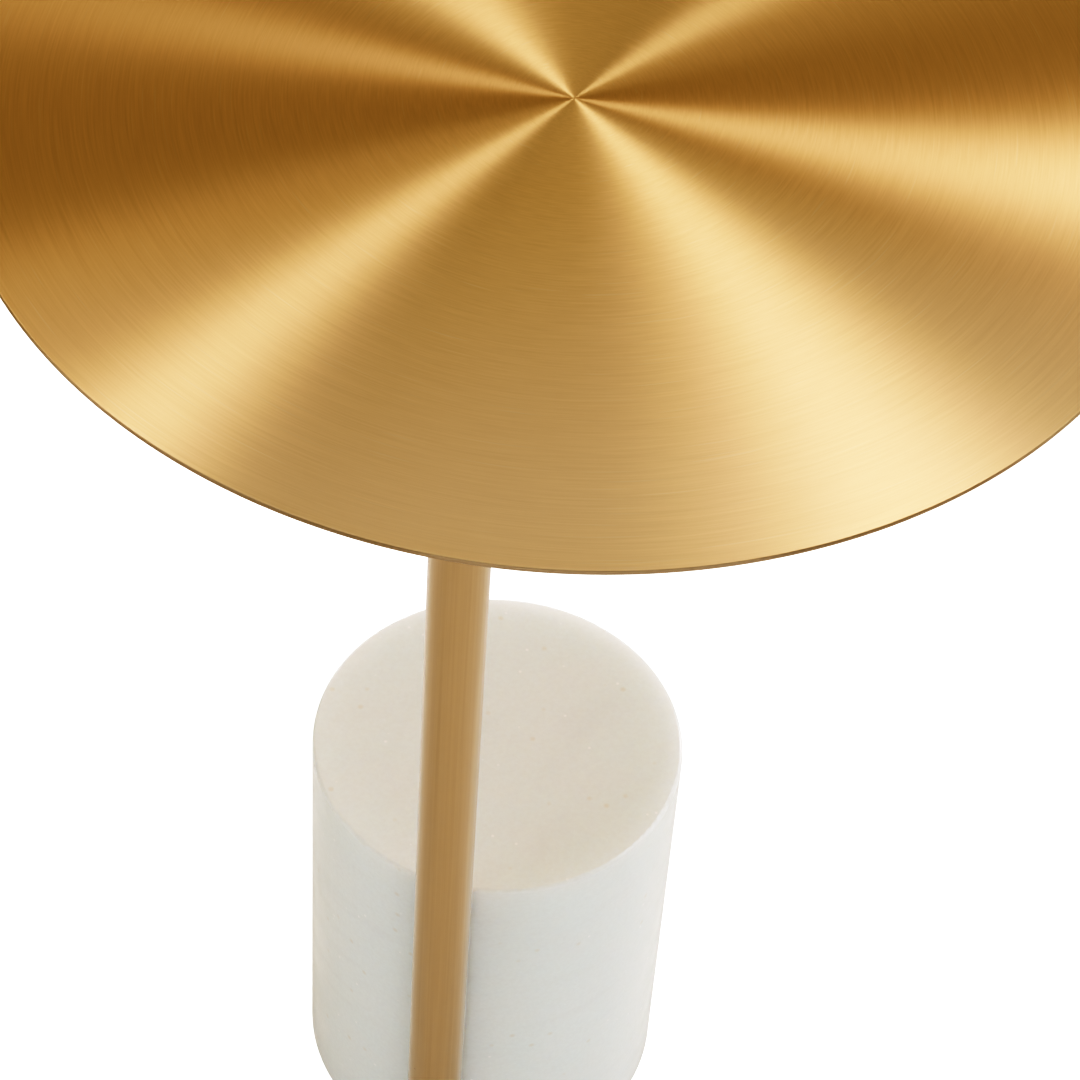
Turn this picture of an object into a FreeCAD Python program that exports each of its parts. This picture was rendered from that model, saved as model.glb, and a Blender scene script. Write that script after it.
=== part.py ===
import FreeCAD, Part
import math
import os
import Sketcher
from FreeCAD import Placement, Rotation, Vector

# Wine table: a thin round brass top on one offset pole, weighted by a marble drum.
# Millimetres, +Z up. The origin is on the floor under the middle of the round top.
# The table is symmetric about X = 0, with the pole towards -Y (the front).

# Driving dimensions: name, size and meaning
SIZES = [
    ("table_height", 503, "floor to the upper face of the top"),
    ("top_diameter", 440, "round top"),
    ("top_thickness", 2, "sheet of the round top"),
    ("top_edge_radius", 0.5, "eased edges of the sheet"),
    ("pole_inset", 71.5, "rim of the top in to the pole's axis"),
    ("pole_diameter", 22.2, "outside of the tube"),
    ("pole_wall", 1.5, "wall of the tube"),
    ("pole_gap", 0.3, "pole to drum, side by side"),
    ("drum_diameter", 150, "marble drum"),
    ("drum_height", 199, "marble drum"),
    ("drum_rim_radius", 1.6, "eased upper rim of the stone"),
    ("drum_base_chamfer", 1.5, "chamfer round the stone's lower edge"),
    ("plate_thickness", 6, "steel base plate"),
    ("plate_margin", 6, "drum's side in to the plate's edge"),
    ("plate_edge", 0.8, "chamfer round the plate's upper edge"),
    ("tab_lip", 2, "plate's tab past the pole's side"),
    ("tab_fillet", 8, "inner corners where the tab leaves the plate"),
    ("gasket_thickness", 1, "rubber sheet between plate and stone"),
    ("foot_diameter", 20, "moulded rubber foot"),
    ("foot_height", 3, "moulded rubber foot"),
    ("foot_edge", 1, "round lower edge of a foot"),
    ("foot_margin", 5, "plate's edge in to a foot's side"),
    ("foot_count", 5, "feet in a ring under the plate"),
    ("flange_diameter", 130, "plate on the pole's upper end"),
    ("flange_thickness", 4, "plate on the pole's upper end"),
    ("flange_edge", 0.8, "chamfer round the flange's lower edge"),
    ("plug_length", 24, "tapped plug in each end of the pole"),
    ("plug_clearance", 0.05, "plug to tube, on the radius"),
    ("plug_edge", 1.2, "thread to the plug's side, and the inner chamfer"),
    ("stud_diameter", 6, "weld stud under the top"),
    ("stud_circle", 96, "circle of the studs round the pole's axis"),
    ("stud_count", 4, "studs under the top"),
    ("stud_clearance", 0.3, "stud to flange and washers, on the radius"),
    ("thread_tip", 0.6, "chamfer at the end of a thread"),
    ("thread_clearance", 0.05, "thread to tapped hole, on the radius"),
    ("washer_diameter", 12, "flat washer"),
    ("washer_thickness", 1.6, "flat washer"),
    ("lock_diameter", 11, "split lock washer"),
    ("lock_thickness", 1.6, "split lock washer"),
    ("lock_slot", 1.2, "split in the lock washer"),
    ("nut_width", 10, "cap nut across its flats"),
    ("nut_face", 9.5, "round bearing face of the cap nut"),
    ("nut_corner", 0.7, "height of the cap nut's corner chamfer"),
    ("nut_hex_height", 5.2, "hexagon of the cap nut"),
    ("nut_height", 12, "cap nut with its dome"),
    ("nut_dome", 9, "dome of the cap nut"),
    ("nut_dome_round", 4, "rounding of the dome"),
    ("nut_engagement", 6.5, "stud inside the cap nut"),
    ("nut_relief", 0.8, "bore past the stud's end"),
    ("frame_screw_diameter", 4, "screws of flange and tab"),
    ("frame_screw_head", 7.2, "screws of flange and tab"),
    ("frame_screw_length", 14, "screws of flange and tab"),
    ("frame_screw_socket", 2.5, "key across its flats"),
    ("frame_screw_socket_depth", 1.5, "key"),
    ("drum_screw_diameter", 8, "screws up into the stone"),
    ("drum_screw_head", 15.6, "screws up into the stone"),
    ("drum_screw_length", 25, "screws up into the stone"),
    ("drum_screw_socket", 5, "key across its flats"),
    ("drum_screw_socket_depth", 3, "key"),
    ("drum_screw_circle", 60, "circle of the screws round the drum's axis"),
    ("drum_screw_count", 3, "screws up into the stone"),
    ("screw_clearance", 0.25, "screw to its hole, on the radius"),
    ("insert_diameter", 12, "threaded sleeve in the stone"),
    ("insert_length", 20, "threaded sleeve in the stone"),
    ("insert_groove", 0.6, "depth of the sleeve's glue groove"),
    ("insert_groove_width", 5, "width of the sleeve's glue groove"),
    ("insert_clearance", 0.1, "sleeve to stone, on the radius"),
    ("insert_relief", 4, "hole in the stone past the sleeve"),
    ("cut_overrun", 1, "cuts past the face they leave by"),
    ("edge_tolerance", 0.001, "places of edges when they are picked"),
]
COUNTERSINK_ANGLE = 90
FULL_TURN = 360
HALF_TURN = 180
HEXAGON_SIDES = 6
PAIR = "2"

doc = FreeCAD.newDocument("wine_table")
sheet = doc.addObject("Spreadsheet::Sheet", "sizes")
for row, (alias, amount, meaning) in enumerate(SIZES, start=1):
    sheet.set(f"A{row}", meaning)
    sheet.set(f"B{row}", str(amount))
    sheet.setAlias(f"B{row}", alias)
doc.recompute()

# Places worked out from the driving dimensions
REACH = "(sizes.drum_diameter / 2 + sizes.pole_gap + sizes.pole_diameter / 2)"
POLE_Y = "(sizes.pole_inset - sizes.top_diameter / 2)"
DRUM_Y = f"({POLE_Y} + {REACH})"
PLATE_Z = "sizes.foot_height"
POLE_Z = f"({PLATE_Z} + sizes.plate_thickness)"
DRUM_Z = f"({POLE_Z} + sizes.gasket_thickness)"
TOP_Z = "(sizes.table_height - sizes.top_thickness)"
FLANGE_Z = f"({TOP_Z} - sizes.flange_thickness)"
LOCK_Z = f"({FLANGE_Z} - sizes.washer_thickness)"
NUT_Z = f"({LOCK_Z} - sizes.lock_thickness)"

# Sizes that fit other sizes
PLATE_DIAMETER = "(sizes.drum_diameter - 2 * sizes.plate_margin)"
TAB_WIDTH = "(sizes.pole_diameter + 2 * sizes.tab_lip)"
FOOT_RING = f"({PLATE_DIAMETER} / 2 - sizes.foot_margin - sizes.foot_diameter / 2)"
PLUG_DIAMETER = "(sizes.pole_diameter - 2 * sizes.pole_wall - 2 * sizes.plug_clearance)"
FRAME_SCREW_X = f"({PLUG_DIAMETER} / 2 - sizes.plug_edge - sizes.frame_screw_diameter / 2)"
STUD_LENGTH = f"({TOP_Z} - {NUT_Z} + sizes.nut_engagement)"
STUD_HOLE = "(sizes.stud_diameter + 2 * sizes.stud_clearance)"
FRAME_SCREW_HOLE = "(sizes.frame_screw_diameter + 2 * sizes.screw_clearance)"
FRAME_SCREW_SINK = "(sizes.frame_screw_head + 2 * sizes.screw_clearance)"
DRUM_SCREW_HOLE = "(sizes.drum_screw_diameter + 2 * sizes.screw_clearance)"
DRUM_SCREW_SINK = "(sizes.drum_screw_head + 2 * sizes.screw_clearance)"
DRUM_SCREW_X = "(sizes.drum_screw_circle / 2)"
NUT_CORNERS = "(sizes.nut_width / cos(30 deg))"

FRONT = Rotation(Vector(0, 0, 1), -90)
UPSIDE_DOWN = Rotation(Vector(1, 0, 0), HALF_TURN)
sub_parts = []


def number(expression):
    return float(sheet.evalExpression(expression))


def place(item, y, z, turn=Rotation()):
    """Put a sub-part on the plane X = 0 and list it for writing."""
    item.Placement = Placement(Vector(), turn)
    item.setExpression("Placement.Base.y", y)
    item.setExpression("Placement.Base.z", z)
    sub_parts.append(item)


def new_body(label):
    body = doc.addObject("PartDesign::Body", label)
    body.Label = label
    return body


def origin_feature(body, role):
    return next(item for item in body.Origin.OriginFeatures if item.Role == role)


def new_sketch(body, name, plane="XY_Plane", offset=None):
    sketch = body.newObject("Sketcher::SketchObject", f"{body.Label}_{name}")
    sketch.AttachmentSupport = [(origin_feature(body, plane), "")]
    sketch.MapMode = "FlatFace"
    if offset:
        sketch.setExpression("AttachmentOffset.Base.z", offset)
    return sketch


def join(sketch, kind, *ends):
    sketch.addConstraint(Sketcher.Constraint(kind, *ends))


def measure(sketch, expression, kind, *ends):
    """Add a dimension to a sketch, bound to an expression."""
    index = sketch.addConstraint(Sketcher.Constraint(kind, *ends, number(expression)))
    sketch.setExpression(f"Constraints[{index}]", expression)


def set_point(sketch, curve, point, x, y):
    """Hold one point of a curve at (x, y), where None lies on that axis."""
    if x is None and y is None:
        join(sketch, "Coincident", curve, point, -1, 1)
        return
    if x is None:
        join(sketch, "PointOnObject", curve, point, -2)
    else:
        measure(sketch, x, "DistanceX", -1, 1, curve, point)
    if y is None:
        join(sketch, "PointOnObject", curve, point, -1)
    else:
        measure(sketch, y, "DistanceY", -1, 1, curve, point)


def point_at(x, y):
    return Vector(number(x) if x else 0, number(y) if y else 0, 0)


def draw_circle(sketch, diameter, x=None, y=None):
    circle = Part.Circle(point_at(x, y), Vector(0, 0, 1), number(diameter) / 2)
    curve = sketch.addGeometry(circle)
    measure(sketch, diameter, "Diameter", curve)
    set_point(sketch, curve, 3, x, y)


def draw_outline(sketch, points):
    """Closed outline of straight lines through (x, y) expressions."""
    lines = draw_loop(sketch, [point_at(x, y) for x, y in points])
    for line, (x, y) in zip(lines, points):
        set_point(sketch, line, 1, x, y)


def draw_loop(sketch, corners):
    """Closed loop of lines, joined end to end."""
    ends = corners[1:] + corners[:1]
    lines = [sketch.addGeometry(Part.LineSegment(*pair)) for pair in zip(corners, ends)]
    for line, following in zip(lines, lines[1:] + lines[:1]):
        join(sketch, "Coincident", line, 2, following, 1)
    return lines


def draw_hexagon(sketch, across_flats):
    """Regular hexagon round the sketch's origin, with a corner on its X axis."""
    across_corners = f"{across_flats} / cos(30 deg)"
    radius = number(across_corners) / 2
    turns = [2 * math.pi * side / HEXAGON_SIDES for side in range(HEXAGON_SIDES)]
    corners = [Vector(radius * math.cos(turn), radius * math.sin(turn), 0) for turn in turns]
    guide = sketch.addGeometry(Part.Circle(Vector(), Vector(0, 0, 1), radius), True)
    measure(sketch, across_corners, "Diameter", guide)
    set_point(sketch, guide, 3, None, None)
    lines = draw_loop(sketch, corners)
    for line in lines:
        join(sketch, "PointOnObject", line, 1, guide)
    for line in lines[1:]:
        join(sketch, "Equal", lines[0], line)
    join(sketch, "PointOnObject", lines[0], 1, -1)


def draw_slot(sketch, length, width):
    """Round-ended slot from the origin along +X, to the far round's centre."""
    far = number(length)
    half = number(width) / 2
    up = Vector(0, 0, 1)
    quarter = math.pi / 2
    near_round = Part.ArcOfCircle(Part.Circle(Vector(), up, half), quarter, 3 * quarter)
    far_round = Part.ArcOfCircle(Part.Circle(Vector(far, 0, 0), up, half), -quarter, quarter)
    upper = Part.LineSegment(Vector(far, half, 0), Vector(0, half, 0))
    lower = Part.LineSegment(Vector(0, -half, 0), Vector(far, -half, 0))
    chain = [sketch.addGeometry(item) for item in (near_round, lower, far_round, upper)]
    for curve, following in zip(chain, chain[1:] + chain[:1]):
        join(sketch, "Tangent", curve, 2, following, 1)
    set_point(sketch, chain[0], 3, None, None)
    set_point(sketch, chain[2], 3, length, None)
    measure(sketch, f"{width} / 2", "Radius", chain[0])


def pad(body, sketch, length):
    feature = body.newObject("PartDesign::Pad", f"{sketch.Label}_pad")
    feature.Profile = sketch
    feature.setExpression("Length", length)
    doc.recompute()
    return feature


def pocket_up(body, sketch, depth):
    """Cut upwards from a sketch, and prove that the cut met the solid."""
    before = body.Shape.Volume
    feature = body.newObject("PartDesign::Pocket", f"{sketch.Label}_pocket")
    feature.Profile = sketch
    feature.setExpression("Length", depth)
    feature.Reversed = True
    doc.recompute()
    check_cut(body, before)
    return feature


def check_cut(body, before):
    if body.Shape.Volume >= before:
        raise RuntimeError(f"a cut in {body.Label} met nothing")


def revolve(body, points):
    """Turn a closed outline of (radius, height) points about the body's Z axis."""
    sketch = new_sketch(body, "outline", "XZ_Plane")
    draw_outline(sketch, points)
    feature = body.newObject("PartDesign::Revolution", f"{sketch.Label}_turned")
    feature.Profile = sketch
    feature.ReferenceAxis = (sketch, ["V_Axis"])
    feature.Angle = FULL_TURN
    doc.recompute()
    return feature


def drill(body, name, diameter, x, y=None, down_from=None, depth=None, head=None):
    """Round hole, up from the body's Z = 0 or down from a height, with room for a head."""
    before = body.Shape.Volume
    sketch = new_sketch(body, name, offset=down_from)
    draw_circle(sketch, diameter, x, y)
    doc.recompute()
    feature = body.newObject("PartDesign::Hole", f"{sketch.Label}_hole")
    feature.Profile = sketch
    feature.ThreadType = "None"
    feature.DepthType = "Dimension" if depth else "ThroughAll"
    if depth:
        feature.setExpression("Depth", depth)
        feature.DrillPoint = "Flat"
    if head:
        feature.HoleCutType = "Countersink"
        feature.HoleCutCustomValues = True
        feature.HoleCutCountersinkAngle = COUNTERSINK_ANGLE
        feature.setExpression("HoleCutDiameter", head)
    feature.setExpression("Diameter", diameter)
    feature.Reversed = down_from is None
    doc.recompute()
    check_cut(body, before)
    return feature


def repeat_round(body, feature, count):
    """Repeat a feature evenly round the body's Z axis."""
    pattern = body.newObject("PartDesign::PolarPattern", f"{feature.Label}_ring")
    pattern.Originals = [feature]
    pattern.Axis = (origin_feature(body, "Z_Axis"), [""])
    pattern.Angle = FULL_TURN
    pattern.setExpression("Occurrences", count)
    body.Tip = pattern
    doc.recompute()
    return pattern


def repeat_mirrored(body, feature):
    """Repeat a feature on the other side of the body's own X axis."""
    mirror = body.newObject("PartDesign::Mirrored", f"{feature.Label}_pair")
    mirror.Originals = [feature]
    mirror.MirrorPlane = (origin_feature(body, "XZ_Plane"), [""])
    body.Tip = mirror
    doc.recompute()
    return mirror


def dress(body, kind, size_name, size, picks):
    """Fillet or chamfer the edges of the body's tip that picks accepts."""
    base = body.Tip
    names = [f"Edge{i}" for i, edge in enumerate(base.Shape.Edges, start=1) if picks(edge)]
    feature = body.newObject(f"PartDesign::{kind}", f"{body.Label}_{size_name}")
    feature.Base = (base, names)
    feature.setExpression("Radius" if kind == "Fillet" else "Size", size)
    doc.recompute()
    return feature


def is_near(length, wanted):
    return abs(length - wanted) < number("sizes.edge_tolerance")


def round_edge(diameter, z):
    """Picks whole circles of a diameter at a height, in the body's own frame."""
    radius = number(diameter) / 2
    height = number(z) if z else 0

    def picks(edge):
        circle = edge.Curve
        if not isinstance(circle, Part.Circle):
            return False
        return is_near(circle.Radius, radius) and is_near(circle.Center.z, height)

    return picks


def edge_at_height(z):
    """Picks every edge that lies flat at a height."""
    height = number(z)

    def picks(edge):
        return is_near(edge.BoundBox.ZMin, height) and is_near(edge.BoundBox.ZMax, height)

    return picks


def upright_edge(distance):
    """Picks straight vertical edges at a distance from the body's Z axis."""
    wanted = number(distance)

    def picks(edge):
        start, end = (vertex.Point for vertex in (edge.Vertexes[0], edge.Vertexes[-1]))
        upright = is_near(start.x, end.x) and is_near(start.y, end.y)
        return upright and is_near(math.hypot(start.x, start.y), wanted)

    return picks


def ring_of_places(radius, count, first_turn=0):
    """Evenly spaced (x, y) expressions on a circle round the local Z axis."""
    steps = int(number(count))
    turns = [first_turn + FULL_TURN * step / steps for step in range(steps)]
    return [(f"{radius} * cos({turn} deg)", f"{radius} * sin({turn} deg)") for turn in turns]


def group(label, master, places):
    """One sub-part made of separate, like solids: a copy of the master at each place."""
    copies = []
    for index, (x, y) in enumerate(places, start=1):
        copy = doc.addObject("App::Link", f"{label}_{index}")
        copy.LinkedObject = master
        copy.setExpression("Placement.Base.x", x)
        copy.setExpression("Placement.Base.y", y)
        copies.append(copy)
    compound = doc.addObject("Part::Compound", label)
    compound.Label = label
    compound.Links = copies
    return compound


# The round top and what holds it to the pole

def make_table_top():
    body = new_body("table_top")
    sketch = new_sketch(body, "disc")
    draw_circle(sketch, "sizes.top_diameter")
    pad(body, sketch, "sizes.top_thickness")
    lower = round_edge("sizes.top_diameter", None)
    upper = round_edge("sizes.top_diameter", "sizes.top_thickness")
    dress(body, "Fillet", "edges", "sizes.top_edge_radius", lambda edge: lower(edge) or upper(edge))
    place(body, "0", TOP_Z)


def make_top_flange():
    body = new_body("top_flange")
    sketch = new_sketch(body, "disc")
    draw_circle(sketch, "sizes.flange_diameter")
    pad(body, sketch, "sizes.flange_thickness")
    dress(body, "Chamfer", "edge", "sizes.flange_edge", round_edge("sizes.flange_diameter", None))
    stud_hole = drill(body, "stud", STUD_HOLE, "sizes.stud_circle / 2")
    repeat_round(body, stud_hole, "sizes.stud_count")
    screw_hole = drill(
        body,
        "pole_screw",
        FRAME_SCREW_HOLE,
        FRAME_SCREW_X,
        down_from="sizes.flange_thickness",
        head=FRAME_SCREW_SINK,
    )
    repeat_round(body, screw_hole, PAIR)
    place(body, POLE_Y, FLANGE_Z)


def make_studs():
    master = new_body("stud_master")
    radius = "sizes.stud_diameter / 2"
    revolve(master, [
        (None, None),
        (radius, None),
        (radius, f"{STUD_LENGTH} - sizes.thread_tip"),
        (f"{radius} - sizes.thread_tip", STUD_LENGTH),
        (None, STUD_LENGTH),
    ])
    hang_on_studs("top_studs", master, TOP_Z)


def hang_on_studs(label, master, z):
    """A ring of like pieces on the studs, pointing down from a height."""
    places = ring_of_places("sizes.stud_circle / 2", "sizes.stud_count")
    place(group(label, master, places), POLE_Y, z, UPSIDE_DOWN)


def washer_body(label, diameter, thickness):
    body = new_body(label)
    sketch = new_sketch(body, "ring")
    draw_circle(sketch, diameter)
    draw_circle(sketch, STUD_HOLE)
    pad(body, sketch, thickness)
    return body


def make_washers():
    master = washer_body("washer_master", "sizes.washer_diameter", "sizes.washer_thickness")
    hang_on_studs("stud_washers", master, FLANGE_Z)


def make_lock_washers():
    master = washer_body("lock_master", "sizes.lock_diameter", "sizes.lock_thickness")
    slot = new_sketch(master, "slot")
    outside = "sizes.lock_diameter / 2 + sizes.cut_overrun"
    draw_outline(slot, [
        (None, None),
        (outside, None),
        (outside, "sizes.lock_slot"),
        (None, "sizes.lock_slot"),
    ])
    pocket_up(master, slot, "sizes.lock_thickness + sizes.cut_overrun")
    hang_on_studs("stud_lock_washers", master, LOCK_Z)


def make_cap_nuts():
    master = new_body("nut_master")
    bore = "sizes.stud_diameter / 2 + sizes.thread_clearance"
    bore_depth = "sizes.nut_engagement + sizes.nut_relief"
    face = "sizes.nut_face / 2"
    corner = f"{NUT_CORNERS} / 2"
    dome = "sizes.nut_dome / 2"
    revolve(master, [
        (bore, None),
        (face, None),
        (corner, "sizes.nut_corner"),
        (corner, "sizes.nut_hex_height - sizes.nut_corner"),
        (face, "sizes.nut_hex_height"),
        (dome, "sizes.nut_hex_height"),
        (dome, "sizes.nut_height"),
        (None, "sizes.nut_height"),
        (None, bore_depth),
        (bore, bore_depth),
    ])
    dress(master, "Fillet", "dome", "sizes.nut_dome_round", round_edge("sizes.nut_dome", "sizes.nut_height"))
    flats = new_sketch(master, "flats")
    draw_circle(flats, f"{NUT_CORNERS} + 2 * sizes.cut_overrun")
    draw_hexagon(flats, "sizes.nut_width")
    pocket_up(master, flats, "sizes.nut_hex_height + sizes.cut_overrun")
    hang_on_studs("stud_cap_nuts", master, NUT_Z)


# The pole, its plugs and its screws

def make_pole():
    body = new_body("pole_tube")
    sketch = new_sketch(body, "ring")
    draw_circle(sketch, "sizes.pole_diameter")
    draw_circle(sketch, "sizes.pole_diameter - 2 * sizes.pole_wall")
    pad(body, sketch, f"{FLANGE_Z} - {POLE_Z}")
    place(body, POLE_Y, POLE_Z)


def make_plug(label, z, turn):
    """Plug with two tapped holes in its outer end, which is at its own Z = 0."""
    body = new_body(label)
    sketch = new_sketch(body, "disc")
    draw_circle(sketch, PLUG_DIAMETER)
    pad(body, sketch, "sizes.plug_length")
    inner_edge = round_edge(PLUG_DIAMETER, "sizes.plug_length")
    dress(body, "Chamfer", "edge", "sizes.plug_edge", inner_edge)
    tapped = "sizes.frame_screw_diameter + 2 * sizes.thread_clearance"
    hole = drill(body, "thread", tapped, FRAME_SCREW_X, depth="sizes.frame_screw_length")
    repeat_round(body, hole, PAIR)
    place(body, POLE_Y, z, turn)


def screw_body(label, name):
    """Countersunk socket screw, head down, from the named screw's own sizes."""
    body = new_body(label)
    head = f"sizes.{name}_head / 2"
    shank = f"sizes.{name}_diameter / 2"
    length = f"sizes.{name}_length"
    revolve(body, [
        (None, None),
        (head, None),
        (shank, f"{head} - {shank}"),
        (shank, f"{length} - sizes.thread_tip"),
        (f"{shank} - sizes.thread_tip", length),
        (None, length),
    ])
    key = new_sketch(body, "key")
    draw_hexagon(key, f"sizes.{name}_socket")
    pocket_up(body, key, f"sizes.{name}_socket_depth")
    return body


def make_frame_screws():
    master = screw_body("frame_screw_master", "frame_screw")
    places = ring_of_places(FRAME_SCREW_X, PAIR)
    place(group("flange_screws", master, places), POLE_Y, TOP_Z, UPSIDE_DOWN)
    place(group("foot_screws", master, places), POLE_Y, PLATE_Z)


# The marble drum, its base plate and feet: their own X axis points at the pole

def make_drum():
    body = new_body("marble_drum")
    sketch = new_sketch(body, "disc")
    draw_circle(sketch, "sizes.drum_diameter")
    pad(body, sketch, "sizes.drum_height")
    upper = round_edge("sizes.drum_diameter", "sizes.drum_height")
    dress(body, "Fillet", "rim", "sizes.drum_rim_radius", upper)
    lower = round_edge("sizes.drum_diameter", None)
    dress(body, "Chamfer", "base", "sizes.drum_base_chamfer", lower)
    hole = drill(
        body,
        "insert",
        "sizes.insert_diameter + 2 * sizes.insert_clearance",
        DRUM_SCREW_X,
        depth="sizes.insert_length + sizes.insert_relief",
    )
    repeat_round(body, hole, "sizes.drum_screw_count")
    place(body, DRUM_Y, DRUM_Z, FRONT)


def drum_ring():
    return ring_of_places(DRUM_SCREW_X, "sizes.drum_screw_count")


def make_inserts():
    master = new_body("insert_master")
    bore = "sizes.drum_screw_diameter / 2 + sizes.thread_clearance"
    outside = "sizes.insert_diameter / 2"
    groove = f"{outside} - sizes.insert_groove"
    groove_start = "(sizes.insert_length - sizes.insert_groove_width) / 2"
    groove_end = "(sizes.insert_length + sizes.insert_groove_width) / 2"
    revolve(master, [
        (bore, None),
        (outside, None),
        (outside, groove_start),
        (groove, groove_start),
        (groove, groove_end),
        (outside, groove_end),
        (outside, "sizes.insert_length"),
        (bore, "sizes.insert_length"),
    ])
    place(group("drum_inserts", master, drum_ring()), DRUM_Y, DRUM_Z, FRONT)


def make_drum_screws():
    master = screw_body("drum_screw_master", "drum_screw")
    place(group("drum_screws", master, drum_ring()), DRUM_Y, PLATE_Z, FRONT)


def make_gasket():
    body = new_body("drum_gasket")
    sketch = new_sketch(body, "disc")
    draw_circle(sketch, PLATE_DIAMETER)
    pad(body, sketch, "sizes.gasket_thickness")
    hole = drill(body, "screw", DRUM_SCREW_HOLE, DRUM_SCREW_X)
    repeat_round(body, hole, "sizes.drum_screw_count")
    place(body, DRUM_Y, POLE_Z, FRONT)


def make_base_plate():
    body = new_body("base_plate")
    disc = new_sketch(body, "disc")
    draw_circle(disc, PLATE_DIAMETER)
    pad(body, disc, "sizes.plate_thickness")
    tab = new_sketch(body, "tab")
    draw_slot(tab, REACH, TAB_WIDTH)
    pad(body, tab, "sizes.plate_thickness")
    dress(body, "Fillet", "tab_corners", "sizes.tab_fillet", upright_edge(f"{PLATE_DIAMETER} / 2"))
    dress(body, "Chamfer", "upper_edge", "sizes.plate_edge", edge_at_height("sizes.plate_thickness"))
    drum_hole = drill(body, "screw", DRUM_SCREW_HOLE, DRUM_SCREW_X, head=DRUM_SCREW_SINK)
    repeat_round(body, drum_hole, "sizes.drum_screw_count")
    pole_hole = drill(body, "pole_screw", FRAME_SCREW_HOLE, REACH, FRAME_SCREW_X, head=FRAME_SCREW_SINK)
    repeat_mirrored(body, pole_hole)
    place(body, DRUM_Y, PLATE_Z, FRONT)


def make_feet():
    half_step = HALF_TURN / number("sizes.foot_count")
    places = ring_of_places(FOOT_RING, "sizes.foot_count", half_step)
    for index, (x, y) in enumerate(places, start=1):
        body = new_body(f"rubber_foot_{index}")
        sketch = new_sketch(body, "disc")
        draw_circle(sketch, "sizes.foot_diameter")
        pad(body, sketch, "sizes.foot_height")
        lower = round_edge("sizes.foot_diameter", None)
        dress(body, "Fillet", "edge", "sizes.foot_edge", lower)
        place(body, f"{DRUM_Y} - {x}", "0")
        body.setExpression("Placement.Base.x", y)


def check_document():
    for item in doc.Objects:
        if "Invalid" in item.State or "Error" in item.State:
            raise RuntimeError(f"{item.Label} failed to build: {item.State}")
    for item in sub_parts:
        if item.Shape.isNull() or not item.Shape.isValid():
            raise RuntimeError(f"{item.Label} has no valid shape")


def write_parts():
    os.makedirs("parts", exist_ok=True)
    for item in sub_parts:
        item.Shape.exportStep(f"parts/{item.Label}.step")
        print(item.Label, len(item.Shape.Solids), round(item.Shape.Volume))


make_table_top()
make_top_flange()
make_studs()
make_washers()
make_lock_washers()
make_cap_nuts()
make_pole()
make_plug("pole_head_plug", FLANGE_Z, UPSIDE_DOWN)
make_plug("pole_foot_plug", POLE_Z, Rotation())
make_frame_screws()
make_drum()
make_inserts()
make_drum_screws()
make_gasket()
make_base_plate()
make_feet()
doc.recompute()
check_document()
write_parts()
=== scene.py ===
"""Looks of the wine table: brushed brass top and pole, white marble drum, fittings underneath.

Metres, in the part's own frame: the origin is on the floor under the centre of the top,
+Z is up, and the pole stands on the -Y side.
"""
import math

import bmesh
import bpy
from mathutils import Matrix, Vector


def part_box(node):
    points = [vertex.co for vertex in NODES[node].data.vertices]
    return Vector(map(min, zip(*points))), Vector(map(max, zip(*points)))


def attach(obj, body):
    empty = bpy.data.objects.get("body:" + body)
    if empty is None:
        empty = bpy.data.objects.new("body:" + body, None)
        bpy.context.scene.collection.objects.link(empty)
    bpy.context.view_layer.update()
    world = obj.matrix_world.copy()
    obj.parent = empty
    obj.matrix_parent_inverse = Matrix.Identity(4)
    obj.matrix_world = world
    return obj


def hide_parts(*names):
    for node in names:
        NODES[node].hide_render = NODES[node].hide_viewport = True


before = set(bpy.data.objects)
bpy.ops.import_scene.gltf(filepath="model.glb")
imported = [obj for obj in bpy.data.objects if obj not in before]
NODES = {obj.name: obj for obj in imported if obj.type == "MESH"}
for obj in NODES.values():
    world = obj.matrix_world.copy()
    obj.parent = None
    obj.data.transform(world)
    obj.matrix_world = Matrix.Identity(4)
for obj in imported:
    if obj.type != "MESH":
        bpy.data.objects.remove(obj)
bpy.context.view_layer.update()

MM = 0.001

# Places read from the frame
TOP_LOW, TOP_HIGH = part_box("table_top")
TOP_RADIUS = (TOP_HIGH.x - TOP_LOW.x) / 2
TOP_CENTRE = (TOP_LOW + TOP_HIGH) / 2
POLE_LOW, POLE_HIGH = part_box("pole_tube")
POLE_AXIS = (POLE_LOW + POLE_HIGH) / 2

# Camera, from the fit of the outlines to the photograph; angles in radians, lens and sensor in mm
CAMERA_PLACE = Vector((0.1784, -0.9385, 1.3637))
CAMERA_HEADING = -0.1885
CAMERA_TILT = 0.8557
CAMERA_ROLL = 0.0735
CAMERA_LENS = 120.16
CAMERA_SENSOR = 36.0

# Top: the sheet's rounded edge and how finely its circles are divided
TOP_EDGE_RADIUS = 0.5 * MM
TOP_EDGE_STEPS = 4
TOP_EDGE_FLAT = 0.15 * MM
TOP_SEGMENTS = 288
TOP_RINGS = 24

# Metal colours, as light reflected straight on
BRASS_COLOUR = (0.818, 0.56, 0.304)
BRASS_DULL = (0.732, 0.495, 0.259)
# Darker brass for the rounded rim of the top: painted shade
BRASS_EDGE_SHADE = (0.40, 0.27, 0.135)
BRASS_BRIGHT = (0.84, 0.66, 0.44)
POLE_COLOUR = (0.543, 0.381, 0.2)
POLE_DULL = (0.514, 0.358, 0.186)
POLE_FLECK = (0.34, 0.22, 0.11)
STEEL_COLOUR = (0.62, 0.62, 0.60)
STEEL_DULL = (0.50, 0.50, 0.49)

# Parts of a noise's range, 0 to 1, that are stretched over a finish
MIDDLE_RANGE = (0.35, 0.65)
WIDE_RANGE = (0.3, 0.7)
SCRATCH_RANGE = (0.72, 0.82)
VEIN_RANGE = (0.56, 0.74)

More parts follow.
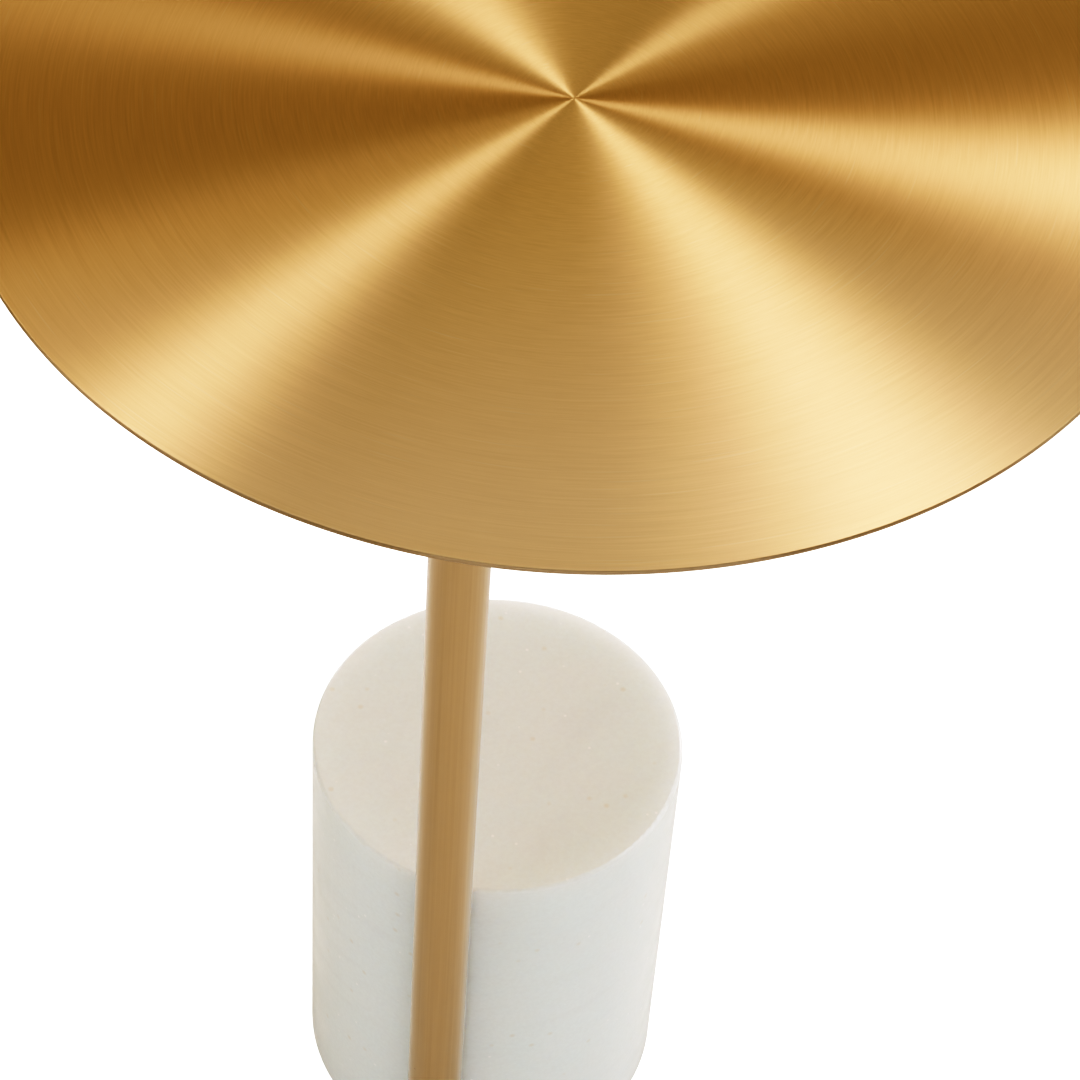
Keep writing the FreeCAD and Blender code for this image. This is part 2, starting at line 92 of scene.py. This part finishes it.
# Brushing on the top: each kind of mark by how fast it changes round the top and outwards
HAIR_SCALES = (6.0, 1500.0)
STROKE_SCALES = (4.0, 850.0)
BAND_SCALES = (2.5, 170.0)
SCRATCH_SCALES = (5.0, 1300.0)
HAIR_SHARE = 0.65
STROKE_SHARE = 0.27
BAND_SHARE = 0.08
WORN_SHARE = 0.75
SCRATCH_SHARE = 0.22
HAIR_DEPTH = 0.01 * MM
TOP_ROUGHNESS = (0.31, 0.28)

# Haze in the lacquer of the top: the side where it lies, and where it starts and is full
HAZE_HEADING = math.radians(-66.0)
HAZE_START = 0.2 * TOP_RADIUS
HAZE_FULL = 0.85 * TOP_RADIUS

# Brushing on the pole, by how fast it changes round the pole and along it
POLE_SCALES = (10.0, 5.0)
POLE_ROUGHNESS = (0.42, 0.38)

# Plain metal and rubber
SATIN_ROUGHNESS = (0.32, 0.42)
STEEL_ROUGHNESS = (0.30, 0.42)
RUBBER_ROUGHNESS = (0.62, 0.8)
RUBBER_DARK = (0.018, 0.018, 0.018)
RUBBER_PALE = (0.035, 0.034, 0.033)
RUBBER_GRAIN_DEPTH = 0.1 * MM
RUBBER_GRAIN_STRENGTH = 0.5

# Marble colours, its bedding, and how strongly each kind of mark shows
MARBLE_GREEN = (0.845, 0.903, 0.905)
MARBLE_PINK = (0.86, 0.895, 0.895)
MARBLE_VEIN = (0.70, 0.71, 0.71)
# White of the crystal spots: partly the stone's pale grains, partly painted glints
MARBLE_CRYSTAL_GLINT = (1.0, 1.0, 1.0)
MARBLE_SPECK = (0.76, 0.72, 0.63)
MARBLE_BED = (-0.36, 0.12, 1.0)
BED_SCALE_ALONG = 22.0
BED_SCALE_ACROSS = 110.0
GRAIN_SHARE = 0.2
VEIN_SHARE = 0.13
SPECK_SHARE = 0.55
MARBLE_GRAIN_DEPTH = 0.03 * MM
MARBLE_ROUGHNESS = (0.17, 0.23)
MARBLE_GLOW_DEPTHS = (0.014, 0.0135, 0.0125)

# Spots: the share of their radius that is solid before they fade out
SPOT_CORE_SHARE = 0.3

# Film: how much of the light shows, from dark to full white at 1, on the curve of all three colours
FILM_CURVE = ((0.05, 0.018), (0.1, 0.076), (0.2, 0.266), (0.3, 0.472), (0.5, 0.76), (0.7, 0.905))
FILM_ALL_COLOURS = 3

# Studio: a dim warm room with a greener ceiling, soft boxes, and a floor and backdrop that glow
# white for the camera only
WALL_COLOUR = (0.232, 0.187, 0.089)
CEILING_COLOUR = (0.225, 0.235, 0.14)
CEILING_STARTS = math.radians(40.0)
CEILING_FULL = math.radians(60.0)
WHITE_GLOW = 1.2
BACKDROP_COLOUR = (WHITE_GLOW, WHITE_GLOW, WHITE_GLOW)
FLOOR_COLOUR = (0.74, 0.71, 0.65, 1.0)
FLOOR_GLOW_COLOUR = (1.0, 1.0, 1.0, 1.0)
FLOOR_ROUGHNESS = 0.9
FLOOR_HALF = 6.0
LAMP_COLOUR = (1.06, 0.98, 1.06)
WINDOW_COLOUR = (0.84, 0.97, 1.3)
DAY_COLOUR = (0.9, 0.99, 1.18)
LIGHT_DISTANCE = 2.5
FILL_DISTANCE = 1.0

# Sockets of a mix node that blends colours
MIX_SHARE = 0
MIX_FIRST = 6
MIX_SECOND = 7
MIX_RESULT = 2


class Nodes:
    """Short ways to add and join the nodes of one tree."""

    def __init__(self, tree):
        self.tree = tree

    def node(self, kind, inputs=None, **settings):
        """A node with its settings, and each input given as a value or as another node's socket."""
        made = self.tree.nodes.new(kind)
        for name, value in settings.items():
            setattr(made, name, value)
        for name, value in (inputs or {}).items():
            self.feed(made.inputs[name], value)
        return made

    def feed(self, socket, value):
        if isinstance(value, bpy.types.NodeSocket):
            self.tree.links.new(value, socket)
        else:
            socket.default_value = value

    def math(self, operation, first, second=0.0):
        return self.node("ShaderNodeMath", {0: first, 1: second}, operation=operation).outputs[0]

    def vector(self, operation, first, second=(0.0, 0.0, 0.0)):
        return self.node("ShaderNodeVectorMath", {0: first, 1: second}, operation=operation).outputs[0]

    def scale(self, vector, amount):
        made = self.node("ShaderNodeVectorMath", {0: vector, "Scale": amount}, operation="SCALE")
        return made.outputs[0]

    def dot(self, first, second):
        made = self.node("ShaderNodeVectorMath", {0: first, 1: second}, operation="DOT_PRODUCT")
        return made.outputs["Value"]

    def length(self, vector):
        return self.node("ShaderNodeVectorMath", {0: vector}, operation="LENGTH").outputs["Value"]

    def axes(self, vector):
        return self.node("ShaderNodeSeparateXYZ", {0: vector}).outputs

    def combine(self, x, y, z):
        return self.node("ShaderNodeCombineXYZ", {0: x, 1: y, 2: z}).outputs[0]

    def noise(self, vector, scale=1.0, detail=2.0, roughness=0.5, distortion=0.0):
        values = {"Vector": vector, "Scale": scale, "Detail": detail, "Roughness": roughness,
                  "Distortion": distortion}
        return self.node("ShaderNodeTexNoise", values).outputs["Fac"]

    def spread(self, value, source, target):
        """The value, taken from one range to another range, and held inside it."""
        values = {"Value": value, "From Min": source[0], "From Max": source[1],
                  "To Min": target[0], "To Max": target[1]}
        return self.node("ShaderNodeMapRange", values).outputs["Result"]

    def blend(self, share, first, second):
        """A colour between two colours."""
        made = self.node("ShaderNodeMix", data_type="RGBA")
        for index, value in ((MIX_SHARE, share), (MIX_FIRST, first), (MIX_SECOND, second)):
            if isinstance(value, tuple):
                value = (*value, 1.0)
            self.feed(made.inputs[index], value)
        return made.outputs[MIX_RESULT]


class Surface(Nodes):
    """One procedural material."""

    def __init__(self, name):
        self.material = bpy.data.materials.new(name)
        self.material.use_nodes = True
        super().__init__(self.material.node_tree)
        self.shader = self.tree.nodes["Principled BSDF"]
        self.place = self.node("ShaderNodeTexCoord").outputs["Object"]

    def set(self, **values):
        """Values of the shader, named as its sockets with _ for a space."""
        for name, value in values.items():
            self.feed(self.shader.inputs[name.replace("_", " ")], value)

    def spots(self, scale, size, share):
        """1 inside small round spots, strewn so that only a share of the cells has one."""
        cells = self.node("ShaderNodeTexVoronoi", {"Vector": self.place, "Scale": scale})
        chosen = self.math("GREATER_THAN", self.axes(cells.outputs["Color"])["X"], 1.0 - share)
        inside = self.spread(cells.outputs["Distance"], (SPOT_CORE_SHARE * size, size), (1.0, 0.0))
        return self.math("MULTIPLY", chosen, inside)

    def bump(self, height, distance, strength=1.0):
        values = {"Height": height, "Distance": distance, "Strength": strength}
        return self.node("ShaderNodeBump", values).outputs["Normal"]

    def tangent(self):
        """Direction round the piece's upright axis."""
        return self.node("ShaderNodeTangent", direction_type="RADIAL", axis="Z").outputs[0]


def from_axis(surface, axis):
    """The level way out from an upright axis to each point."""
    away = surface.vector("SUBTRACT", surface.place, tuple(axis))
    return surface.vector("MULTIPLY", away, (1.0, 1.0, 0.0))


def turned_place(surface, axis, scales):
    """Coordinates for marks that run in circles round an upright axis."""
    round_scale, radial_scale = scales
    out = from_axis(surface, axis)
    heading = surface.scale(surface.vector("NORMALIZE", out), round_scale)
    depth = surface.math("MULTIPLY", surface.length(out), radial_scale)
    return surface.vector("ADD", heading, surface.combine(0.0, 0.0, depth))


def drawn_place(surface, axis, scales):
    """Coordinates for marks that run along an upright axis."""
    round_scale, along_scale = scales
    heading = surface.scale(surface.vector("NORMALIZE", from_axis(surface, axis)), round_scale)
    height = surface.math("MULTIPLY", surface.axes(surface.place)["Z"], along_scale)
    return surface.vector("ADD", heading, surface.combine(0.0, 0.0, height))


def brushed_top_material():
    """Brass turned on a wheel: fine circles that spread the light outwards and inwards, and painted
    shade on its rounded rim.
    """
    surface = Surface("brushed_top")
    hairs = surface.noise(turned_place(surface, TOP_CENTRE, HAIR_SCALES), detail=2.0, roughness=0.6)
    strokes = surface.noise(turned_place(surface, TOP_CENTRE, STROKE_SCALES), detail=2.0)
    bands = surface.noise(turned_place(surface, TOP_CENTRE, BAND_SCALES), detail=2.0)
    hair_part = surface.math("MULTIPLY", hairs, HAIR_SHARE)
    stroke_part = surface.math("MULTIPLY", strokes, STROKE_SHARE)
    band_part = surface.math("MULTIPLY", bands, BAND_SHARE)
    lines = surface.math("ADD", surface.math("ADD", hair_part, stroke_part), band_part)
    marks = surface.noise(turned_place(surface, TOP_CENTRE, SCRATCH_SCALES), detail=0.0)
    scratches = surface.spread(marks, SCRATCH_RANGE, (0.0, SCRATCH_SHARE))
    wear = surface.spread(lines, MIDDLE_RANGE, (WORN_SHARE, 0.0))
    worn = surface.blend(wear, BRASS_COLOUR, BRASS_DULL)
    scratched = surface.blend(scratches, worn, BRASS_BRIGHT)
    towards = (math.cos(HAZE_HEADING), math.sin(HAZE_HEADING), 0.0)
    reach = surface.dot(surface.place, towards)
    rim = TOP_RADIUS - TOP_EDGE_RADIUS
    radius = surface.length(from_axis(surface, TOP_CENTRE))
    # The rounded rim is painted a darker brass: painted shade along the edge of the top
    edge = surface.spread(radius, (rim, rim + 0.5 * TOP_EDGE_RADIUS), (0.0, 1.0))
    surface.set(
        Base_Color=surface.blend(edge, scratched, BRASS_EDGE_SHADE),
        Roughness=surface.spread(lines, MIDDLE_RANGE, TOP_ROUGHNESS),
        Metallic=1.0,
        Anisotropic=1.0,
        Anisotropic_Rotation=0.25,
        Tangent=surface.tangent(),
        Normal=surface.bump(hairs, HAIR_DEPTH),
        Coat_Weight=surface.spread(reach, (HAZE_START, HAZE_FULL), (0.0, 1.0)),
        Coat_Roughness=0.7,
        Coat_IOR=1.9,
    )
    return surface.material


def brushed_pole_material():
    """Lacquered brass tube, polished along its length."""
    surface = Surface("brushed_pole")
    hairs = surface.noise(drawn_place(surface, POLE_AXIS, POLE_SCALES), detail=4.0, roughness=0.65)
    flecks = surface.spots(scale=160.0, size=0.08, share=0.04)
    body = surface.blend(surface.spread(hairs, MIDDLE_RANGE, (0.0, 1.0)), POLE_DULL, POLE_COLOUR)
    surface.set(
        Base_Color=surface.blend(flecks, body, POLE_FLECK),
        Roughness=surface.spread(hairs, WIDE_RANGE, POLE_ROUGHNESS),
        Metallic=1.0,
        Anisotropic=0.7,
        Tangent=surface.tangent(),
        Coat_Weight=1.0,
        Coat_Roughness=0.15,
        Coat_IOR=1.7,
        Sheen_Weight=0.5,
        Sheen_Roughness=0.3,
    )
    return surface.material


def satin_brass_material():
    """Plain brass of the flange, the base plate and the cap nuts."""
    surface = Surface("satin_brass")
    cloud = surface.noise(surface.place, scale=60.0, detail=4.0)
    surface.set(
        Base_Color=surface.blend(cloud, BRASS_DULL, BRASS_COLOUR),
        Roughness=surface.spread(cloud, WIDE_RANGE, SATIN_ROUGHNESS),
        Metallic=1.0,
    )
    return surface.material


def steel_material():
    """Zinc-plated steel of the screws, washers, studs, inserts and plugs."""
    surface = Surface("zinc_steel")
    cloud = surface.noise(surface.place, scale=240.0, detail=4.0)
    surface.set(
        Base_Color=surface.blend(cloud, STEEL_DULL, STEEL_COLOUR),
        Roughness=surface.spread(cloud, WIDE_RANGE, STEEL_ROUGHNESS),
        Metallic=1.0,
    )
    return surface.material


def marble_material():
    """Honed white marble: soft mottling, fine grain, faint slanting veins, tan specks, and white crystal
    spots that are partly pale grains of the stone and partly painted glints.
    """
    surface = Surface("white_marble")
    cloud = surface.noise(surface.place, scale=55.0, detail=3.0)
    grain = surface.noise(surface.place, scale=520.0, detail=3.0, roughness=0.6)
    body = surface.blend(surface.spread(cloud, WIDE_RANGE, (0.0, 1.0)), MARBLE_GREEN, MARBLE_PINK)
    body = surface.blend(surface.spread(grain, WIDE_RANGE, (GRAIN_SHARE, 0.0)), body, MARBLE_VEIN)
    slope = surface.math("MULTIPLY", surface.dot(surface.place, MARBLE_BED), BED_SCALE_ACROSS)
    along = surface.scale(surface.place, BED_SCALE_ALONG)
    bed = surface.vector("ADD", along, surface.combine(0.0, 0.0, slope))
    layers = surface.noise(bed, detail=3.0, distortion=0.4)
    body = surface.blend(surface.spread(layers, VEIN_RANGE, (0.0, VEIN_SHARE)), body, MARBLE_VEIN)
    specks = surface.spots(scale=140.0, size=0.22, share=0.15)
    body = surface.blend(surface.math("MULTIPLY", specks, SPECK_SHARE), body, MARBLE_SPECK)
    # White crystal spots: partly pale grains of the stone, partly painted glints
    crystals_and_glints = surface.spots(scale=300.0, size=0.25, share=0.05)
    surface.set(
        Base_Color=surface.blend(crystals_and_glints, body, MARBLE_CRYSTAL_GLINT),
        Roughness=surface.spread(cloud, MIDDLE_RANGE, MARBLE_ROUGHNESS),
        Subsurface_Weight=0.8,
        Subsurface_Radius=MARBLE_GLOW_DEPTHS,
        Subsurface_Scale=1.0,
        Normal=surface.bump(grain, MARBLE_GRAIN_DEPTH),
    )
    return surface.material


def rubber_material():
    """Black rubber of the feet and the gasket."""
    surface = Surface("black_rubber")
    grain = surface.noise(surface.place, scale=900.0, detail=3.0)
    surface.set(
        Base_Color=surface.blend(grain, RUBBER_DARK, RUBBER_PALE),
        Roughness=surface.spread(grain, WIDE_RANGE, RUBBER_ROUGHNESS),
        Normal=surface.bump(grain, RUBBER_GRAIN_DEPTH, RUBBER_GRAIN_STRENGTH),
    )
    return surface.material


def paint(thing, material):
    thing.data.materials.clear()
    thing.data.materials.append(material)


def disc_profile():
    """Radius and height of each ring of the top, outwards on its face, round its edge, inwards below."""
    inner = TOP_RADIUS - TOP_EDGE_RADIUS
    flat = inner - TOP_EDGE_FLAT
    rings = [flat * step / TOP_RINGS for step in range(1, TOP_RINGS + 1)]
    face = [(radius, TOP_HIGH.z) for radius in rings]
    edge = []
    for middle, start in ((TOP_HIGH.z - TOP_EDGE_RADIUS, 90.0), (TOP_LOW.z + TOP_EDGE_RADIUS, 0.0)):
        for step in range(TOP_EDGE_STEPS + 1):
            angle = math.radians(start - 90.0 * step / TOP_EDGE_STEPS)
            radius = inner + TOP_EDGE_RADIUS * math.cos(angle)
            edge.append((radius, middle + TOP_EDGE_RADIUS * math.sin(angle)))
    below = [(radius, TOP_LOW.z) for radius in reversed(rings)]
    return face + edge + below


def make_top(material):
    """The top as rings of quads, so that its coordinates run round and outwards as the brushing does."""
    mesh = bpy.data.meshes.new("brushed_top")
    work = bmesh.new()
    profile = disc_profile()
    rings = []
    for radius, height in profile:
        ring = []
        for step in range(TOP_SEGMENTS):
            angle = 2 * math.pi * step / TOP_SEGMENTS
            ring.append(work.verts.new((TOP_CENTRE.x + radius * math.cos(angle),
                                        TOP_CENTRE.y + radius * math.sin(angle), height)))
        rings.append(ring)
    upper = work.verts.new((TOP_CENTRE.x, TOP_CENTRE.y, TOP_HIGH.z))
    lower = work.verts.new((TOP_CENTRE.x, TOP_CENTRE.y, TOP_LOW.z))
    layer = work.loops.layers.uv.new("OFBake")
    reach = [0.0]
    for (radius, height), (next_radius, next_height) in zip([(0.0, TOP_HIGH.z)] + profile, profile):
        reach.append(reach[-1] + math.hypot(next_radius - radius, next_height - height))
    whole = reach[-1] + profile[-1][0]

    def add_face(corners, places):
        face = work.faces.new(corners)
        face.smooth = True
        for loop, place in zip(face.loops, places):
            loop[layer].uv = place

    for step in range(TOP_SEGMENTS):
        after = (step + 1) % TOP_SEGMENTS
        left, right = step / TOP_SEGMENTS, (step + 1) / TOP_SEGMENTS
        middle = (left + right) / 2
        near = reach[1] / whole
        add_face((upper, rings[0][step], rings[0][after]), ((middle, 0.0), (left, near), (right, near)))
        for index in range(len(rings) - 1):
            inside, outside = rings[index], rings[index + 1]
            near, far = reach[index + 1] / whole, reach[index + 2] / whole
            add_face((inside[step], outside[step], outside[after], inside[after]),
                     ((left, near), (left, far), (right, far), (right, near)))
        far = reach[-1] / whole
        add_face((rings[-1][step], lower, rings[-1][after]), ((left, far), (middle, 1.0), (right, far)))
    work.to_mesh(mesh)
    work.free()
    piece = bpy.data.objects.new("brushed_top", mesh)
    bpy.context.scene.collection.objects.link(piece)
    paint(piece, material)
    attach(piece, "root")
    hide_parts("table_top")
    return piece


def make_floor():
    """A pale floor that the camera sees as plain white."""
    surface = Surface("pale_floor")
    seen = surface.node("ShaderNodeLightPath").outputs["Is Camera Ray"]
    surface.set(
        Base_Color=FLOOR_COLOUR,
        Roughness=FLOOR_ROUGHNESS,
        Emission_Color=FLOOR_GLOW_COLOUR,
        Emission_Strength=surface.math("MULTIPLY", seen, WHITE_GLOW),
    )
    half = FLOOR_HALF
    corners = [(-half, -half, 0.0), (half, -half, 0.0), (half, half, 0.0), (-half, half, 0.0)]
    mesh = bpy.data.meshes.new("floor")
    mesh.from_pydata(corners, [], [(0, 1, 2, 3)])
    floor = bpy.data.objects.new("floor", mesh)
    bpy.context.scene.collection.objects.link(floor)
    paint(floor, surface.material)
    return floor


def soft_box(name, colour, radiance, azimuth, elevation, roll, width, height, distance=LIGHT_DISTANCE):
    """A soft box that faces the middle of the top; its sizes are shares of its distance."""
    light = bpy.data.lights.new(name, "AREA")
    light.shape = "RECTANGLE"
    light.size = width * distance
    light.size_y = height * distance
    light.energy = radiance * math.pi * light.size * light.size_y
    light.color = colour
    thing = bpy.data.objects.new(name, light)
    bpy.context.scene.collection.objects.link(thing)
    azimuth, elevation, roll = (math.radians(value) for value in (azimuth, elevation, roll))
    ahead = Vector((math.cos(azimuth), math.sin(azimuth), 0.0))
    away = math.cos(elevation) * ahead + Vector((0.0, 0.0, math.sin(elevation)))
    side = Vector((-math.sin(azimuth), math.cos(azimuth), 0.0))
    rise = away.cross(side)
    across = math.cos(roll) * side + math.sin(roll) * rise
    upward = -math.sin(roll) * side + math.cos(roll) * rise
    turn = Matrix((across, upward, away)).transposed().to_4x4()
    thing.matrix_world = Matrix.Translation(TOP_CENTRE + distance * away) @ turn
    thing.visible_camera = False
    return thing


def light_only(light, things):
    """Let a light reach some things and nothing else."""
    reached = bpy.data.collections.new(light.name + "_reaches")
    for thing in things:
        reached.objects.link(thing)
    light.light_linking.receiver_collection = reached


def make_lights(top, others):
    """Lamps above and behind the table, paler daylight from its sides, and two low fills.

    Low light would glare on the top from many sides, so two lights come in pairs: a low one for
    the other things, and a higher, dimmer one that draws the same ray on the top. The fills stand
    below the plane of the top, so that its face doesn't see them.
    """
    soft_box("high_left", LAMP_COLOUR, radiance=4.45, azimuth=153.5, elevation=60.0, roll=-14.0,
             width=0.294, height=0.094)
    soft_box("high_right", LAMP_COLOUR, radiance=2.95, azimuth=58.0, elevation=62.3, roll=9.0,
             width=0.426, height=0.214)
    low_lamp = soft_box("low_lamp", LAMP_COLOUR, radiance=6.7, azimuth=54.0, elevation=13.7, roll=-8.0,
                        width=0.16, height=0.88)
    light_only(low_lamp, others)
    ray_lamp = soft_box("ray_lamp", LAMP_COLOUR, radiance=2.3, azimuth=60.0, elevation=30.3, roll=-44.0,
                        width=0.143, height=0.69)
    light_only(ray_lamp, [top])
    soft_box("back_left", LAMP_COLOUR, radiance=1.82, azimuth=164.5, elevation=48.7, roll=-64.0,
             width=0.164, height=0.426)
    soft_box("ceiling", LAMP_COLOUR, radiance=0.84, azimuth=203.5, elevation=82.6, roll=13.0,
             width=0.386, height=0.752)
    low_day = soft_box("low_day", DAY_COLOUR, radiance=3.1, azimuth=17.2, elevation=21.1, roll=-68.0,
                       width=0.656, height=0.376)
    light_only(low_day, others)
    ray_day = soft_box("ray_day", DAY_COLOUR, radiance=0.8, azimuth=24.5, elevation=36.6, roll=-41.7,
                       width=0.358, height=0.8)
    light_only(ray_day, [top])
    soft_box("left_wall", WINDOW_COLOUR, radiance=0.78, azimuth=213.7, elevation=18.3, roll=-46.0,
             width=0.40, height=1.0)
    soft_box("back_fill", LAMP_COLOUR, radiance=5.3, azimuth=118.0, elevation=-6.5, roll=0.0,
             width=1.2, height=0.2, distance=FILL_DISTANCE)
    soft_box("front_fill", WINDOW_COLOUR, radiance=2.5, azimuth=-71.0, elevation=-5.7, roll=0.0,
             width=1.0, height=0.184)


def make_room():
    """The light that comes from all round, and the plain backdrop behind the table."""
    world = bpy.data.worlds.new("studio")
    world.use_nodes = True
    surface = Nodes(world.node_tree)
    height = surface.axes(surface.node("ShaderNodeTexCoord").outputs["Generated"])["Z"]
    ceiling_range = (math.sin(CEILING_STARTS), math.sin(CEILING_FULL))
    share = surface.spread(height, ceiling_range, (0.0, 1.0))
    room = surface.blend(share, WALL_COLOUR, CEILING_COLOUR)
    seen = surface.node("ShaderNodeLightPath").outputs["Is Camera Ray"]
    background = world.node_tree.nodes["Background"]
    surface.feed(background.inputs["Color"], surface.blend(seen, room, BACKDROP_COLOUR))
    bpy.context.scene.world = world


def make_camera():
    """The photograph's camera."""
    camera = bpy.data.cameras.new("photo_camera")
    camera.lens = CAMERA_LENS
    camera.sensor_width = CAMERA_SENSOR
    camera.sensor_fit = "HORIZONTAL"
    thing = bpy.data.objects.new("photo_camera", camera)
    bpy.context.scene.collection.objects.link(thing)
    ahead = Vector((math.sin(CAMERA_HEADING) * math.cos(CAMERA_TILT),
                    math.cos(CAMERA_HEADING) * math.cos(CAMERA_TILT),
                    -math.sin(CAMERA_TILT)))
    level = Vector((math.cos(CAMERA_HEADING), -math.sin(CAMERA_HEADING), 0.0))
    upright = level.cross(ahead)
    right = math.cos(CAMERA_ROLL) * level + math.sin(CAMERA_ROLL) * upright
    up = -math.sin(CAMERA_ROLL) * level + math.cos(CAMERA_ROLL) * upright
    turn = Matrix((right, up, -ahead)).transposed().to_4x4()
    thing.matrix_world = Matrix.Translation(CAMERA_PLACE) @ turn
    bpy.context.scene.camera = thing


def set_film():
    """A camera's response: soft shadows, steep middle, and whites that roll off."""
    view = bpy.context.scene.view_settings
    view.view_transform = "Standard"
    view.use_curve_mapping = True
    curve = view.curve_mapping.curves[FILM_ALL_COLOURS]
    for light, shown in FILM_CURVE:
        curve.points.new(light, shown)
    view.curve_mapping.update()


make_camera()
top = make_top(brushed_top_material())
pole_brass = brushed_pole_material()
satin_brass = satin_brass_material()
steel = steel_material()
marble = marble_material()
rubber = rubber_material()
FINISHES = {
    "pole_tube": pole_brass,
    "top_flange": satin_brass,
    "base_plate": satin_brass,
    "stud_cap_nuts": satin_brass,
    "marble_drum": marble,
    "drum_gasket": rubber,
}
for name, node in NODES.items():
    finish = rubber if name.startswith("rubber_foot") else FINISHES.get(name, steel)
    paint(node, finish)
floor = make_floor()
make_lights(top, [*NODES.values(), floor])
make_room()
set_film()
